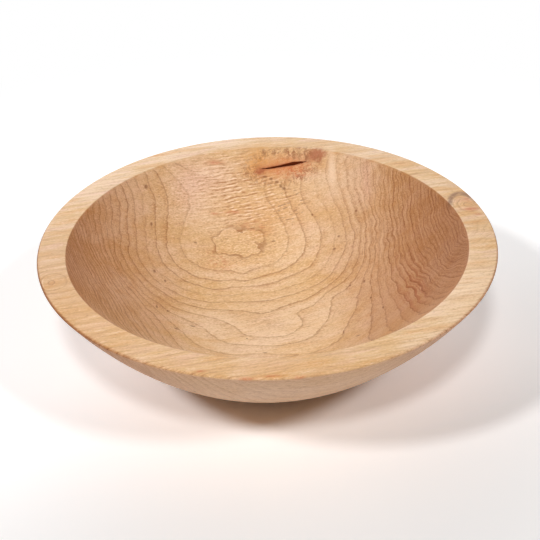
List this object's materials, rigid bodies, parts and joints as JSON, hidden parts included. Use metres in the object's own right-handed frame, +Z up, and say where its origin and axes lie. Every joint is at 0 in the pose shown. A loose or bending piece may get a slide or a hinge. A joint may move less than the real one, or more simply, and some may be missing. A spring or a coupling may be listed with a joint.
{
  "type": "wooden bowl",
  "caption": "Round wooden bowl turned from one block, with a broad rim band, a curved wall of even thickness, a low foot ring and a small bark fissure inside the wall.",
  "frame": {"origin": "centre of the foot ring, on the surface that the bowl stands on", "axes": "+Z up along the turning axis, -Y towards the side seen from the front, with the bark fissure in the wall at +Y"},
  "size_m": [0.254, 0.254, 0.076],
  "materials": {
    "maple": "sanded smooth and oiled, satin, with open grain figure"
  },
  "bodies": {
    "root": {"turned_bowl": "maple"}
  },
  "joints": []
}
